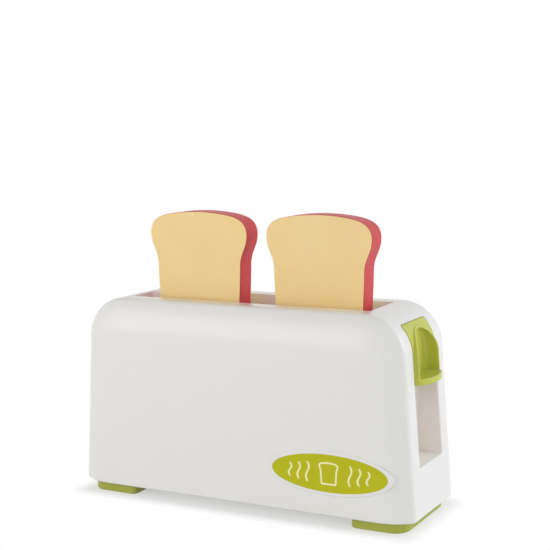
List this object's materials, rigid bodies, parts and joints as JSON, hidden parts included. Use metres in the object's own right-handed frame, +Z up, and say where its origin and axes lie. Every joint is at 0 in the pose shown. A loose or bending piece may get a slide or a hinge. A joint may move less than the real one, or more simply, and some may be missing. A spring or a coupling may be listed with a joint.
{
  "type": "toy toaster",
  "caption": "Toy toaster with a pillow-edged moulded shell, bar feet, a sprung end lever and bread slices standing in one long slot.",
  "frame": {"origin": "on the surface that the feet stand on, under the centre of the body", "axes": "+X along the body towards the lever end, -Y out of the front with the badge, +Z up"},
  "size_m": [0.2121, 0.0718, 0.1647],
  "materials": {
    "shell_white": "satin gloss white moulding",
    "chamber_white": "matte off-white moulding",
    "lime_plastic": "satin lime green moulding",
    "badge_green": "printed label plate",
    "crust_red": "satin red-brown moulding",
    "bread_beige": "matte toast-beige moulding",
    "carriage_grey": "matte pale grey moulding",
    "steel": "drawn steel"
  },
  "bodies": {
    "shell": {"housing": "shell_white", "bread_chamber": "chamber_white", "base_plate": "chamber_white", "left_foot": "lime_plastic", "right_foot": "lime_plastic", "left_guide_rod": "steel", "right_guide_rod": "steel", "left_spring": "steel", "right_spring": "steel", "badge": "badge_green", "base_screw_1": "steel", "base_screw_2": "steel", "base_screw_3": "steel", "base_screw_4": "steel", "chamber_screw_1": "steel", "chamber_screw_2": "steel", "chamber_screw_3": "steel", "chamber_screw_4": "steel"},
    "lift": {"carriage": "carriage_grey", "lever_knob": "lime_plastic", "lever_screw": "steel"},
    "left_slice": {"left_slice_crust": "crust_red", "left_slice_front": "bread_beige", "left_slice_back": "bread_beige"},
    "right_slice": {"right_slice_crust": "crust_red", "right_slice_front": "bread_beige", "right_slice_back": "bread_beige"}
  },
  "joints": [
    {"name": "lever_slide", "type": "slide", "parent": "shell", "child": "lift", "axis": [0, 0, 1], "range_m": [-0.042, 0], "stiffness_N_per_m": 80, "springref_m": 0.045, "deforming": ["left_spring", "right_spring"]},
    {"name": "left_slice_lift", "type": "slide", "parent": "lift", "child": "left_slice", "axis": [0, 0, 1], "range_m": [0, 0.105]},
    {"name": "right_slice_lift", "type": "slide", "parent": "lift", "child": "right_slice", "axis": [0, 0, 1], "range_m": [0, 0.105]}
  ]
}
